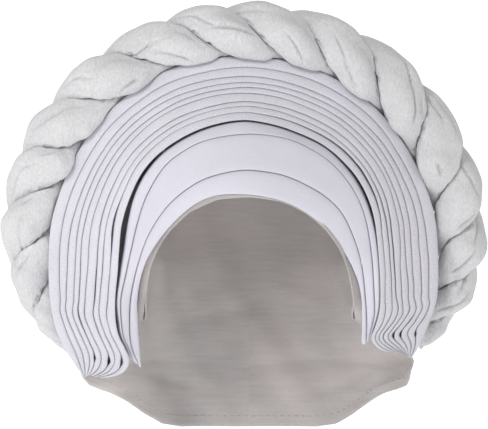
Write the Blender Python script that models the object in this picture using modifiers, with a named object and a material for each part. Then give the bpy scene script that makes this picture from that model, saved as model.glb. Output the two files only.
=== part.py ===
"""Tied gele head tie: a cap with a satin lining, brow bands, stacked pleats and a braid.

The crown of the head is the origin, the face looks along -Y, and +Z is up.
Left and right below are the viewer's, so left is -X.
"""
import math

import bmesh
import bpy
from mathutils import Vector

# Head and cap, metres
HEAD_WIDTH = 0.150
HEAD_LENGTH = 0.190
CROWN_DEPTH = 0.098
HEM_DROP = 0.229
NAPE_FLARE = 0.044
FLARE_START = 0.110
FLARE_END = 0.181
FLARE_BEND = 1.3
LINING_THICKNESS = 0.0012
CAP_THICKNESS = 0.0020
CAP_CLEARANCE = 0.0008

# Halo of bands and pleats, metres
HALO_WIDTH = 0.272
HALO_HEIGHT = 0.2245
HALO_RISE = 0.034
HALO_DEPTH = 0.100
PLEAT_DEPTH = 0.026
BACK_THICKNESS = 0.0022
FOLD_GAP = 0.0004
BACK_CLEARANCE = 0.0014

# Braid, metres
BRAID_RADIUS = 0.1555
BRAID_WIDTH = 0.039
BRAID_CENTRE_DROP = 0.102
STRAND_COUNT = 3
STRAND_GAP = 0.0006

# How finely the forms are divided
ARCH_STATIONS = 26
LEG_STATIONS = 4
MERIDIAN_ROWS = 9
BRAID_STATIONS = 56
STRAND_SIDES = 8

# How a line of the halo bows forward from its sides to its top
BROW_BOW = 1.25
# Share of a leg's drop at which it starts to turn in to the gather
LEG_TURN = 0.62

# Lines of the halo, inner to outer.
# x and reaches are shares of half HALO_WIDTH, drops are shares of HALO_HEIGHT below its top,
# fronts are shares of HALO_DEPTH in front of the crown, roundness is the arch's exponent.
LINES = {
    #             apex_x  apex   reach          spring         round       end_x          end_drop       front
    #                     drop   left   right   left   right   left right  left   right   left   right   top  side end
    "brow_edge": (-.031, .432, (.571, .571), (.765, .715), (2.0, 2.0), (.551, .572), (.960, .885), (.97, .22, .12)),
    "band_1_2": (-.046, .354, (.610, .590), (.770, .708), (2.0, 2.2), (.573, .590), (.955, .893), (.955, .24, .13)),
    "band_2_3": (-.005, .242, (.662, .641), (.770, .705), (2.1, 2.3), (.604, .622), (.948, .889), (.86, .26, .14)),
    "gap_in": (-.046, .205, (.679, .662), (.765, .680), (2.3, 2.2), (.618, .642), (.942, .884), (.80, .27, .14)),
    "gap_out": (-.046, .197, (.693, .672), (.745, .670), (2.5, 2.3), (.636, .665), (.950, .895), (.775, .28, .14)),
    "rim": (-.028, .0, (1.029, .973), (.700, .640), (2.2, 2.1), (.849, .849), (1.0, .943), (.46, .17, .10)),
}

# Brow bands: the lines each lies between, and its depth as shares of PLEAT_DEPTH
BANDS = [
    # inner line   outer line   top  side end
    ("brow_edge", "band_1_2", (.24, .24, .20)),
    ("band_1_2", "band_2_3", (.46, .30, .22)),
    ("band_2_3", "gap_in", (.60, .36, .25)),
]

# Edges of the pleats as shares of the way from gap_out to the rim
PLEAT_EDGES = [
    # top   left   right
    (.000, .000, .000),
    (.126, .114, .085),
    (.213, .221, .190),
    (.291, .307, .290),
    (.425, .436, .390),
    (.504, .536, .490),
    (.591, .621, .610),
    (.677, .729, .730),
    (.819, .836, .850),
    (1.00, 1.00, 1.00),
]
# Depth of the innermost and the outermost leaf, as shares of PLEAT_DEPTH
#                    top  side end
INNER_LEAF_DEPTH = (1.80, .92, .30)
RIM_LEAF_DEPTH = (1.00, .92, .30)
# Where the halo's back meets the cap: in front of the crown, as shares of HALO_DEPTH
#          top  side end
SEAM_FRONT = (.12, .03, .035)

# Outline of a fold: across is the share from its inner to its outer edge,
# back is the share of its depth, and the first point is the root's inner corner.
PLEAT_OUTLINE = [(.30, 1.0), (.0, .34), (.16, .04), (.50, -.06), (.84, .02), (1.0, .34), (.70, 1.0)]
BAND_OUTLINE = [(.24, 1.0), (.0, .55), (.05, .12), (.34, -.14), (.68, -.14), (.96, .12), (1.0, .55), (.76, 1.0)]
# How far a fold spreads from the face towards its root, as shares of its depth
ROOT_SPREAD_INNER = .26
ROOT_SPREAD_RIM = -.12

# Lower edge of the lining by meridian, and where the cap's front edge crosses it
MERIDIANS = [
    # azimuth from the face, lining drop as a share of HEM_DROP, cap edge as a share of the meridian
    (0, .275, .32),
    (14, .284, .33),
    (28, .321, .35),
    (40, .375, .38),
    (51, .434, .42),
    (61, .493, .46),
    (70, .562, .50),
    (78, .622, .54),
    (85, .651, .556),
    (91, .656, .556),
    (94, .671, .556),
    (98, .715, .556),
    (101, .765, .556),
    (106, .824, .556),
    (112, .864, .556),
    (120, .888, .556),
    (128, .918, .556),
    (136, .956, .556),
    (144, .990, .556),
    (153, 1.00, .556),
    (166, 1.00, .556),
    (180, 1.00, .556),
]
# Behind this azimuth the cap reaches the hem; in front of it, it ends on its own edge
CAP_SIDE_EDGE = 85
CAP_ROWS = 5
FLARE_FRONT = 91.0
FLARE_FULL = 98.0

# Course of the braid round the halo
BRAID = [
    # angle  radius  width  set back, shares of BRAID_RADIUS, BRAID_WIDTH and HALO_DEPTH
    (-116, .920, .34, .190),
    (-107, .940, .62, .245),
    (-97, .970, .80, .250),
    (-84, .990, .86, .040),
    (-60, 1.00, .92, -.150),
    (-30, 1.00, .97, -.270),
    (0, 1.00, 1.0, -.330),
    (30, 1.00, .97, -.270),
    (60, 1.00, .92, -.140),
    (84, 1.005, .80, .000),
    (97, .990, .72, .130),
    (108, .955, .55, .215),
    (117, .920, .32, .190),
]
# Angles at which a groove of the braid crosses its middle, seen from the face
GROOVES = [-118, -102, -86.7, -71.9, -59.8, -42.9, -25.7, -9.7, 3.6, 18.2, 36.7, 53.5, 70.7, 84.9, 97, 109, 121]
# A strand's offset from the braid's middle and its own radius, as shares of half the braid
STRAND_OFFSET = .42
STRAND_RADIUS = .58

FRONT = Vector((0.0, -1.0, 0.0))

COLOURS = {
    #          red   green blue  roughness
    "pleat": (.72, .71, .76, .80),
    "braid": (.70, .70, .70, .86),
    "cap": (.68, .67, .71, .84),
    "satin": (.42, .39, .38, .35),
}


def smooth_step(value):
    value = min(max(value, 0.0), 1.0)
    return value * value * (3.0 - 2.0 * value)


def table_value(rows, place, column):
    """A smooth value between the rows of a table, whose first column is the place."""
    if place <= rows[0][0]:
        return rows[0][column]
    for low, high in zip(rows, rows[1:]):
        if place <= high[0]:
            share = (place - low[0]) / (high[0] - low[0])
            return low[column] + (high[column] - low[column]) * smooth_step(share)
    return rows[-1][column]


def make_material(name, colour_key):
    red, green, blue, roughness = COLOURS[colour_key]
    material = bpy.data.materials.new(name + "_cloth")
    material.use_nodes = True
    shader = material.node_tree.nodes["Principled BSDF"]
    shader.inputs["Base Color"].default_value = (red, green, blue, 1.0)
    shader.inputs["Roughness"].default_value = roughness
    shader.inputs["Metallic"].default_value = 0.0
    material.diffuse_color = (red, green, blue, 1.0)
    return material


def make_object(name, mesh_data, collection, colour_key):
    """Turn a bmesh into a named object of the collection with its own material."""
    bmesh.ops.recalc_face_normals(mesh_data, faces=mesh_data.faces)
    mesh = bpy.data.meshes.new(name)
    mesh_data.to_mesh(mesh)
    mesh_data.free()
    mesh.materials.append(make_material(name, colour_key))
    mesh.shade_smooth()
    obj = bpy.data.objects.new(name, mesh)
    collection.objects.link(obj)
    return obj


def loft(sections):
    """A closed body through rings of points that match, with a flat cap at both ends."""
    body = bmesh.new()
    rings = [[body.verts.new(point) for point in section] for section in sections]
    count = len(rings[0])
    for ring, next_ring in zip(rings, rings[1:]):
        for index in range(count):
            after = (index + 1) % count
            body.faces.new((ring[index], ring[after], next_ring[after], next_ring[index]))
    body.faces.new(rings[0])
    body.faces.new(reversed(rings[-1]))
    return body


def stations():
    """Places along an arch: -2 to -1 the left leg, -1 to 1 the arch, 1 to 2 the right leg."""
    left = [-2.0 + step / LEG_STATIONS for step in range(LEG_STATIONS)]
    arch = [-1.0 + 2.0 * step / ARCH_STATIONS for step in range(ARCH_STATIONS + 1)]
    return left + arch + [-place for place in reversed(left)]


def line_point(line, place):
    """The point of a line of the halo at a place along it."""
    apex_x, apex_drop, reach, spring, roundness, end_x, end_drop, front = LINES[line]
    side = 0 if place < 0 else 1
    sign = -1.0 if place < 0 else 1.0
    half = HALO_WIDTH / 2.0
    top_x = apex_x * half
    side_x = sign * reach[side] * half
    spring_z = HALO_RISE - spring[side] * HALO_HEIGHT
    apex_z = HALO_RISE - apex_drop * HALO_HEIGHT
    along = min(abs(place), 1.0)
    angle = along * math.pi / 2.0
    power = 2.0 / roundness[side]
    sine = math.sin(angle) ** power
    cosine = max(math.cos(angle), 0.0) ** power
    x = top_x + (side_x - top_x) * sine
    z = spring_z + (apex_z - spring_z) * cosine
    y = -(front[1] + (front[0] - front[1]) * max(math.cos(angle), 0.0) ** BROW_BOW) * HALO_DEPTH
    down = abs(place) - 1.0
    if down > 0.0:
        foot_x = sign * end_x[side] * half
        foot_z = HALO_RISE - end_drop[side] * HALO_HEIGHT
        turn_z = spring_z + (foot_z - spring_z) * LEG_TURN
        near, middle, far = (1 - down) ** 2, 2 * down * (1 - down), down ** 2
        x = near * side_x + middle * side_x + far * foot_x
        z = near * spring_z + middle * turn_z + far * foot_z
        y = -(front[1] + (front[2] - front[1]) * down) * HALO_DEPTH
    return Vector((x, y, z))


def by_place(triple, place):
    """A top, side and end value at a place along an arch."""
    top, side, end = triple
    if abs(place) <= 1.0:
        return side + (top - side) * math.cos(place * math.pi / 2.0)
    return side + (end - side) * smooth_step(abs(place) - 1.0)


def outward(place):
    """The direction from the face's middle to the rim, in the plane of the face."""
    direction = line_point("rim", place) - line_point("brow_edge", place)
    direction.y = 0.0
    return direction.normalized()


def back_direction(place, stack_share):
    """How a fold's leaf runs back from its front edge, for each metre of its depth."""
    spread = ROOT_SPREAD_INNER + (ROOT_SPREAD_RIM - ROOT_SPREAD_INNER) * stack_share
    return Vector((0.0, 1.0, 0.0)) + outward(place) * spread


def pleat_edge(edge, place):
    """The front point of an edge of the pleats, and its share of the stack."""
    top, left, right = PLEAT_EDGES[edge]
    side = left if place < 0 else right
    share = side + (top - side) * max(math.cos(min(abs(place), 1.0) * math.pi / 2.0), 0.0)
    inner = line_point("gap_out", place)
    return inner.lerp(line_point("rim", place), share), share


def leaf_depth(place, stack_share):
    """How deep the stack of pleats is at a place along it and a share of the way to the rim."""
    inner, rim = by_place(INNER_LEAF_DEPTH, place), by_place(RIM_LEAF_DEPTH, place)
    return (inner + (rim - inner) * stack_share) * PLEAT_DEPTH


def fold_section(inner, outer, inner_leaf, outer_leaf, outline):
    """The section of one fold between two lines and their leaves, held clear of both."""
    width = (outer - inner).length
    clear = min(FOLD_GAP / 2.0 / width, .2)
    points = []
    for across, back in outline:
        share = clear + across * (1.0 - 2.0 * clear)
        points.append((inner + inner_leaf * back).lerp(outer + outer_leaf * back, share))
    return points


def build_bands(collection):
    for number, (inner_line, outer_line, depths) in enumerate(BANDS, start=1):
        sections = []
        for place in stations():
            leaf = back_direction(place, 0.0) * by_place(depths, place) * PLEAT_DEPTH
            inner, outer = line_point(inner_line, place), line_point(outer_line, place)
            sections.append(fold_section(inner, outer, leaf, leaf, BAND_OUTLINE))
        make_object("brow_band_%d" % number, loft(sections), collection, "pleat")


def build_pleats(collection):
    for number in range(1, len(PLEAT_EDGES)):
        sections = []
        for place in stations():
            inner, inner_share = pleat_edge(number - 1, place)
            outer, outer_share = pleat_edge(number, place)
            inner_leaf = back_direction(place, inner_share) * leaf_depth(place, inner_share)
            outer_leaf = back_direction(place, outer_share) * leaf_depth(place, outer_share)
            sections.append(fold_section(inner, outer, inner_leaf, outer_leaf, PLEAT_OUTLINE))
        make_object("pleat_%02d" % number, loft(sections), collection, "pleat")


def seam_point(place):
    """Where the halo's back meets the cap: the oval that an upright plane cuts from the dome."""
    stand_off = LINING_THICKNESS + CAP_CLEARANCE + CAP_THICKNESS + BACK_CLEARANCE
    top, side, end = SEAM_FRONT
    angle = min(max(place, -1.0), 1.0) * math.pi / 2.0
    front = side + (top - side) * max(math.cos(angle), 0.0) ** BROW_BOW
    y = -front * HALO_DEPTH
    shrink = math.sqrt(1.0 - (y / (HEAD_LENGTH / 2.0 + stand_off)) ** 2)
    x = (HEAD_WIDTH / 2.0 + stand_off) * shrink * math.sin(angle)
    z = -CROWN_DEPTH + (CROWN_DEPTH + stand_off) * shrink * max(math.cos(angle), 0.0)
    down = max(abs(place) - 1.0, 0.0)
    if down:
        z += (line_point("gap_out", place).z - z) * down
        y -= (end - side) * HALO_DEPTH * down
    return Vector((x, y, z))


def build_halo_back(collection):
    """The last leaf: it closes the stack behind, from the cap out to the rim."""
    sections = []
    for place in stations():
        front_points, back_points = [seam_point(place)], []
        back_points.append(front_points[0] + Vector((0.0, BACK_THICKNESS, 0.0)))
        for share in (0.0, 1.0):
            front = line_point("gap_out", place).lerp(line_point("rim", place), share)
            back = back_direction(place, share)
            depth = leaf_depth(place, share) + BACK_CLEARANCE
            front_points.append(front + back * depth)
            back_points.append(front + back * (depth + BACK_THICKNESS))
        sections.append(front_points + back_points[::-1])
    make_object("halo_back", loft(sections), collection, "cap")


def head_radius(azimuth):
    """Half of the head's oval at an azimuth from the face."""
    turn = math.radians(azimuth)
    across, along = math.sin(turn) / (HEAD_WIDTH / 2.0), math.cos(turn) / (HEAD_LENGTH / 2.0)
    return 1.0 / math.hypot(across, along)


def shell_point(azimuth, drop, share):
    """A point on a meridian of the lining, from the crown down to its edge."""
    turn = math.radians(azimuth)
    quarter = CROWN_DEPTH * math.pi / 2.0
    edge = drop * HEM_DROP
    if edge < CROWN_DEPTH:
        length = CROWN_DEPTH * math.acos(1.0 - edge / CROWN_DEPTH)
    else:
        length = quarter + edge - CROWN_DEPTH
    reach = length * share
    bend = min(reach / CROWN_DEPTH, math.pi / 2.0)
    down = CROWN_DEPTH * (1.0 - math.cos(bend)) + max(reach - quarter, 0.0)
    flare_share = min(max((down - FLARE_START) / (FLARE_END - FLARE_START), 0.0), 1.0) ** FLARE_BEND
    side_share = smooth_step((abs(azimuth) - FLARE_FRONT) / (FLARE_FULL - FLARE_FRONT))
    side_share *= abs(math.sin(turn)) ** 1.3
    radius = head_radius(azimuth) * math.sin(bend) + NAPE_FLARE * flare_share * side_share
    return Vector((radius * math.sin(turn), -radius * math.cos(turn), -down))


def shell_surface(for_cap):
    """An open dome over the head, with a pole at the crown, as deep as the lining or the cap."""
    left = [(-azimuth, drop, cap) for azimuth, drop, cap in MERIDIANS[1:-1]]
    columns = left[::-1] + MERIDIANS
    surface = bmesh.new()
    pole = surface.verts.new((0.0, 0.0, 0.0))
    rings = []
    for azimuth, drop, cap in columns:
        shares = [cap * row / CAP_ROWS for row in range(1, CAP_ROWS + 1)]
        lower = MERIDIAN_ROWS - CAP_ROWS
        shares += [cap + (1.0 - cap) * row / lower for row in range(1, lower + 1)]
        rings.append([surface.verts.new(shell_point(azimuth, drop, share)) for share in shares])
    for index, ring in enumerate(rings):
        following = rings[(index + 1) % len(rings)]
        azimuths = abs(columns[index][0]), abs(columns[(index + 1) % len(rings)][0])
        deep = min(azimuths) >= CAP_SIDE_EDGE or not for_cap
        surface.faces.new((pole, ring[0], following[0]))
        for row in range((MERIDIAN_ROWS if deep else CAP_ROWS) - 1):
            surface.faces.new((ring[row], ring[row + 1], following[row + 1], following[row]))
    bmesh.ops.delete(surface, geom=[v for v in surface.verts if not v.link_faces], context="VERTS")
    return surface


def build_shell(name, stand_off, thickness, for_cap, colour_key, collection):
    shell = make_object(name, shell_surface(for_cap), collection, colour_key)
    if stand_off:
        offset = shell.modifiers.new("stand off", "DISPLACE")
        offset.strength = stand_off
        offset.mid_level = 0.0
    wall = shell.modifiers.new("wall", "SOLIDIFY")
    wall.thickness = thickness
    wall.offset = 1.0
    wall.use_even_offset = True
    return shell


def braid_frame(angle):
    """The braid's middle at an angle from the top, its outward direction and half width."""
    turn = math.radians(angle)
    out = Vector((math.sin(turn), 0.0, math.cos(turn)))
    radius = table_value(BRAID, angle, 1) * BRAID_RADIUS
    half = table_value(BRAID, angle, 2) * BRAID_WIDTH / 2.0
    back = table_value(BRAID, angle, 3) * HALO_DEPTH
    centre = Vector((LINES["rim"][0] * HALO_WIDTH / 2.0, back, -BRAID_CENTRE_DROP))
    return centre + out * radius, out, half


def braid_turn(angle):
    """How far the strands have turned at an angle, in radians, from the grooves' places."""
    step = 2.0 * math.pi / STRAND_COUNT
    for index, (low, high) in enumerate(zip(GROOVES, GROOVES[1:])):
        if angle <= high:
            return math.pi / 2.0 + step * (index + (angle - low) / (high - low))
    return math.pi / 2.0 + step * (len(GROOVES) - 1)


def strand_middle(angle, strand):
    """The middle of one strand's section, which circles the middle of the braid."""
    middle, out, half = braid_frame(angle)
    turn = braid_turn(angle) + 2.0 * math.pi / STRAND_COUNT * (strand + .5)
    return middle + (out * math.cos(turn) + FRONT * math.sin(turn)) * (STRAND_OFFSET * half)


def strand_section(angle, strand):
    """A round section of one strand, pressed flat where it meets its neighbours."""
    out, half = braid_frame(angle)[1:]
    turn = braid_turn(angle) + 2.0 * math.pi / STRAND_COUNT * (strand + .5)
    centre = strand_middle(angle, strand)
    others = [strand_middle(angle, other) - centre for other in range(STRAND_COUNT) if other != strand]
    points = []
    for side in range(STRAND_SIDES):
        around = 2.0 * math.pi * (side + .5) / STRAND_SIDES + turn
        direction = out * math.cos(around) + FRONT * math.sin(around)
        reach = STRAND_RADIUS * half
        for other in others:
            towards = direction.dot(other.normalized())
            if towards > 0.0:
                reach = min(reach, (other.length - STRAND_GAP) / 2.0 / towards)
        points.append(centre + direction * reach)
    return points


def build_braid(collection):
    first, last = BRAID[0][0], BRAID[-1][0]
    angles = [first + (last - first) * step / BRAID_STATIONS for step in range(BRAID_STATIONS + 1)]
    for strand in range(STRAND_COUNT):
        sections = [strand_section(angle, strand) for angle in angles]
        make_object("braid_strand_%d" % (strand + 1), loft(sections), collection, "braid")


def main():
    for obj in list(bpy.data.objects):
        bpy.data.objects.remove(obj, do_unlink=True)
    collection = bpy.data.collections.new("tied_gele_head_tie")
    bpy.context.scene.collection.children.link(collection)
    build_bands(collection)
    build_pleats(collection)
    build_halo_back(collection)
    build_shell("lining", 0.0, LINING_THICKNESS, False, "satin", collection)
    build_shell("cap", LINING_THICKNESS + CAP_CLEARANCE, CAP_THICKNESS, True, "cap", collection)
    build_braid(collection)


main()
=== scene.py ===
# %% [markdown]
# # A tied gele head tie
#
# A gele is a head tie of one long stiff cloth. This one is sewn ready to wear: a lined cap, three
# smooth bands over the brow, a halo of stacked pleats and a fat cloth braid round the halo's edge.
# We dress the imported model, piece by piece, in the same frame: the top of the hollow is the origin,
# the wrap's front looks along -Y and +Z is up. Left and right are the viewer's.

import bpy
import numpy as np
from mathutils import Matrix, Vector


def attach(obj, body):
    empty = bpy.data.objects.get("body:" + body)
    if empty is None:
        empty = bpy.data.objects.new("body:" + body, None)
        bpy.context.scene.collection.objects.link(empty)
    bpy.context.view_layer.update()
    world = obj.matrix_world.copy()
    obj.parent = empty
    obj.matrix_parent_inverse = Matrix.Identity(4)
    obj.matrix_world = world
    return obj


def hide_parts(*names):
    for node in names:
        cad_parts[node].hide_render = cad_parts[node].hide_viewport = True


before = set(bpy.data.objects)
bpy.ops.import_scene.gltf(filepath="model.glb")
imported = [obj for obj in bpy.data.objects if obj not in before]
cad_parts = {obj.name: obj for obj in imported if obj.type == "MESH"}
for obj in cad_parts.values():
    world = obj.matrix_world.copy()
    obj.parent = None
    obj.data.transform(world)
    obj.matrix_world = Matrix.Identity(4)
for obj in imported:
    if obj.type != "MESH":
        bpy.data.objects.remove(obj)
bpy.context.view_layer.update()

# %% [markdown]
# ## Smooth lines through a few points
#
# Cloth edges are long calm curves. A curve could be a Bezier object, but here many pieces share the
# same edges, so we keep the curves as arrays: a spline through a few given points, sampled at
# even steps of its length. Two neighbours that read the same line can't cross.

# %% Line helpers
SPLINE_STEPS = 16


def ease(value):
    """Smooth step from 0 to 1."""
    value = np.clip(value, 0.0, 1.0)
    return value * value * (3.0 - 2.0 * value)


def wave(place, seed, beats=(1.0, 2.3, 4.1)):
    """A calm uneven wave between about -1 and 1, which is the same on each run."""
    parts = [np.sin(2.0 * np.pi * (beat * place + seed * (.37 + .23 * n))) / (n + 1.0)
             for n, beat in enumerate(beats)]
    return sum(parts) / 1.5


def spline(points, steps=SPLINE_STEPS):
    """A curve through the points. Each span has the same number of steps."""
    points = np.asarray(points, float)
    span = np.maximum(np.linalg.norm(np.diff(points, axis=0), axis=1) ** .5, 1e-9)
    slope = np.diff(points, axis=0) / span[:, None]
    tangent = np.vstack([slope[:1], slope[-1:]])
    if len(points) > 2:
        before, after = span[:-1, None], span[1:, None]
        inner = (slope[:-1] * after + slope[1:] * before) / (before + after)
        tangent = np.vstack([slope[:1], inner, slope[-1:]])
    t = (np.arange(steps) / steps)[None, :, None]
    a, b = points[:-1, None], points[1:, None]
    u, v = (tangent[:-1] * span[:, None])[:, None], (tangent[1:] * span[:, None])[:, None]
    curve = ((2 * t**3 - 3 * t**2 + 1) * a + (t**3 - 2 * t**2 + t) * u
             + (-2 * t**3 + 3 * t**2) * b + (t**3 - t**2) * v)
    return np.vstack([curve.reshape(-1, points.shape[1]), points[-1:]])


def lengths(curve):
    """How far along the curve each of its points lies."""
    return np.concatenate([[0.0], np.cumsum(np.linalg.norm(np.diff(curve, axis=0), axis=-1))])


def at_lengths(curve, wanted):
    """The points of a curve at the wanted lengths."""
    along = lengths(curve)
    return np.stack([np.interp(wanted, along, column) for column in curve.T], axis=1)


# %% [markdown]
# ## The lines of the halo
#
# The front of the wrap is ruled by six lines that run from one side over the brow to the other side.
# They are drawn on a grid of 0.7 mm squares, with the origin at square (249, 106), because points read
# off are easier to correct on such a grid than in metres. Each line has four stretches, which meet
# at the same places: the gather at the lower left, the left arch, the right arch and the gather at the
# lower right. At the gathers the pleats hook back and crowd together. The grid is seen from the
# camera's distance, so a line far in front is drawn a little larger than it is.

# %% Line tables
SQUARE = 0.0007
CROWN_SQUARE = (249.0, 106.0)
CAMERA_AIM, CAMERA_AWAY = (-.0035, -.01, -.076), 3.2
HALO_DEPTH, FRONT_ROUNDING = 0.100, 1.25

LINES = {
    # stretches of (x, y) squares, then how far forward the line lies at its top, sides and ends
    "brow_edge": (
        [(142, 369), (141, 355), (140, 340), (139, 322)],
        [(138.5, 300), (141, 282), (146, 265), (152, 253), (162, 238), (180, 218), (198, 204),
         (216, 197)],
        [(240, 195.5), (261, 197.5), (282, 202.5), (300, 210.5), (325, 229), (345, 256), (357, 282)],
        [(360.5, 300), (361, 315), (361, 330), (360.5, 345)],
        (.97, .22, .12)),
    "band_1_2": (
        [(140, 366), (133.5, 353), (130.5, 338), (130, 322)],
        [(131, 300), (134, 283), (138.5, 265), (148.5, 237), (166, 209.5), (183.5, 193), (205, 180)],
        [(240, 171.5), (263, 172.5), (285, 177), (306, 186), (325, 197.5), (341, 213.5), (353, 238),
         (361, 265)],
        [(365, 300), (366, 315), (366.5, 330), (366, 344)],
        (.955, .24, .13)),
    "band_2_3": (
        [(133.5, 361), (129.5, 350), (124, 338), (121.5, 322)],
        [(121, 300), (126, 276), (132, 249), (138.5, 222), (147, 197), (165, 167), (182, 153),
         (205, 141.5)],
        [(244, 135), (268, 136), (292, 141), (313, 151), (331, 163.5), (350, 185.5), (363, 212),
         (370.5, 250)],
        [(374, 300), (374.3, 315), (371.6, 328), (368.4, 339.5)],
        (.86, .26, .14)),
    "gap_in": (
        [(131.5, 359), (127.5, 349), (121.5, 337), (119, 322)],
        [(117.6, 300), (121.4, 273), (125.2, 250), (128.6, 225), (135, 197.5), (146.6, 174.2),
         (165.8, 153), (201.5, 132.6)],
        [(240, 123.3), (265, 126), (289, 133), (324, 149), (349, 173.5), (361, 192.5), (370.2, 216),
         (377, 250)],
        [(379.4, 300), (377.6, 315), (373.6, 328), (369.5, 340)],
        (.80, .27, .14)),
    "gap_out": (
        [(92, 374), (99, 377), (112, 377), (123, 373), (129, 366), (129.5, 358), (125.5, 348),
         (119.5, 336), (116.5, 322)],
        [(115.9, 300), (118.4, 272), (119.8, 250), (122.4, 225), (131, 197), (143.5, 172),
         (164, 150.5), (200, 130)],
        [(240, 121), (265, 123.5), (290, 130.5), (325, 147), (351, 171), (363.5, 190), (372.5, 214),
         (377.5, 250)],
        [(379.8, 300), (378, 315), (374.2, 328), (371, 338), (374.5, 345.5), (382.5, 350.8),
         (392.5, 352), (399, 352.5), (405, 356)],
        (.775, .28, .14)),
    "rim": (
        [(84, 378), (78, 370), (72, 361), (66, 352), (58, 336), (53, 320)],
        [(49.5, 300), (48, 268), (50.5, 225), (61, 188), (79, 149), (102, 118), (131, 92), (163, 72),
         (202, 60)],
        [(243, 56), (283, 60), (321, 71.5), (354, 90), (383, 115), (406, 146), (424, 181), (435, 215),
         (438.5, 252)],
        [(438, 295), (434.5, 310), (430, 322), (423.5, 338), (418, 349), (411, 359)],
        (.46, .17, .10)),
}
STEPS = {"foot": 64, "arch": 112}


# %% Sample the lines
def halo_places():
    """Places along a line: -2 at its left end, -1, 0 and 1 where stretches meet, 2 at its right end."""
    foot = np.arange(STEPS["foot"]) / STEPS["foot"]
    arch = np.arange(STEPS["arch"]) / STEPS["arch"]
    return np.concatenate([-2 + foot, -1 + arch, arch, 1 + foot, [2.0]])


def halo_line(name):
    """The points of a line of the halo at all places, in metres."""
    *stretches, front = LINES[name]
    squares = np.array(sum(stretches, []), float)
    curve = spline(squares)
    along = lengths(curve)
    marks = np.cumsum([0] + [len(stretch) for stretch in stretches])[:4]
    knots = np.concatenate([along[marks * SPLINE_STEPS], along[-1:]])
    curve = at_lengths(curve, np.interp(PLACES, [-2, -1, 0, 1, 2], knots))
    top, side, end = front
    level = side + (top - side) * ARCH ** FRONT_ROUNDING
    level += (end - side) * np.clip(np.abs(PLACES) - 1, 0, 1)
    x = (curve[:, 0] - CROWN_SQUARE[0]) * SQUARE
    z = (CROWN_SQUARE[1] - curve[:, 1]) * SQUARE
    near = 1 - (level * HALO_DEPTH + CAMERA_AIM[1]) / CAMERA_AWAY
    x = CAMERA_AIM[0] + (x - CAMERA_AIM[0]) * near
    z = CAMERA_AIM[2] + (z - CAMERA_AIM[2]) * near
    return np.stack([x, -level * HALO_DEPTH, z], axis=1)


PLACES = halo_places()
ARCH = np.cos(np.clip(PLACES, -1, 1) * np.pi / 2).clip(0)  # 1 at the top and 0 from the sides down
halo = {name: halo_line(name) for name in LINES}
print("halo lines", len(halo), "places", len(PLACES))

# %% [markdown]
# ## From a grid of points to a piece
#
# Pleats, bands and strands are all long closed tubes: one ring of points for each place along them.
# Blender's Skin or curve bevel could make such tubes, but only with one round section. A grid of points
# lets each section keep its own outline. The grid also gives the cloth its own measure: the UV map
# counts metres along and across the piece, so ribs and grain follow the cloth.


# %% Grid helpers
def add_object(name, data):
    """A new object of the scene, at the origin."""
    added = bpy.data.objects.new(name, data)
    bpy.context.scene.collection.objects.link(added)
    return added


def finish_piece(name, mesh, material):
    """Link a mesh as a smooth piece that rides on the wrap."""
    mesh.validate()
    mesh.shade_smooth()
    mesh.materials.append(material)
    piece = add_object(name, mesh)
    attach(piece, "root")
    return piece


def signed_volume(verts, faces):
    a, b, c, d = (verts[faces[:, n]] for n in range(4))
    return (a * (np.cross(b, c) + np.cross(c, d))).sum()


def tube(name, rings, material):
    """A closed piece through rings of points, with a rounded-off fan at both ends."""
    rows, columns = rings.shape[:2]
    row, column = np.meshgrid(np.arange(rows - 1), np.arange(columns), indexing="ij")
    corners = ((0, 0), (0, 1), (1, 1), (1, 0))
    quads = np.stack([(row + down) * columns + (column + aside) % columns
                      for down, aside in corners], axis=-1).reshape(-1, 4)
    map_quads = np.stack([np.stack([row + down, column + aside], -1)
                          for down, aside in corners], axis=-2).reshape(-1, 4, 2)
    verts = rings.reshape(-1, 3)
    turn = -1 if signed_volume(verts, quads) < 0 else 1
    quads, map_quads = quads[:, ::turn], map_quads[:, ::turn]
    verts = np.vstack([verts, rings[0].mean(0), rings[-1].mean(0)])
    ends = []
    for ring_row, middle, way in ((0, rows * columns, turn), (rows - 1, rows * columns + 1, -turn)):
        for n in range(columns):
            pair = (ring_row * columns + n, ring_row * columns + (n + 1) % columns)
            ends.append((middle, *(pair if way < 0 else pair[::-1])))
    mesh = bpy.data.meshes.new(name)
    mesh.from_pydata(verts.tolist(), [], quads.tolist() + ends)
    along = lengths(rings.mean(1))
    ring = rings[rows // 2]
    across = lengths(np.vstack([ring, ring[:1]]))
    layer = mesh.uv_layers.new(name="cloth")
    coordinates = np.stack([along[map_quads[..., 0]], across[map_quads[..., 1]]], axis=-1)
    fans = np.zeros((6 * columns, 2))
    fans[3 * columns:, 0] = along[-1]
    coordinates = np.vstack([coordinates.reshape(-1, 2), fans])
    layer.data.foreach_set("uv", coordinates.astype(np.float32).reshape(-1))
    return finish_piece(name, mesh, material)


# %% [markdown]
# ## Shader expressions
#
# A material is a small sum: base colour, plus ribs, plus grain. Wiring twenty Math nodes by hand hides
# that sum, so one small class wraps a socket and turns + - * into nodes.


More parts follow.
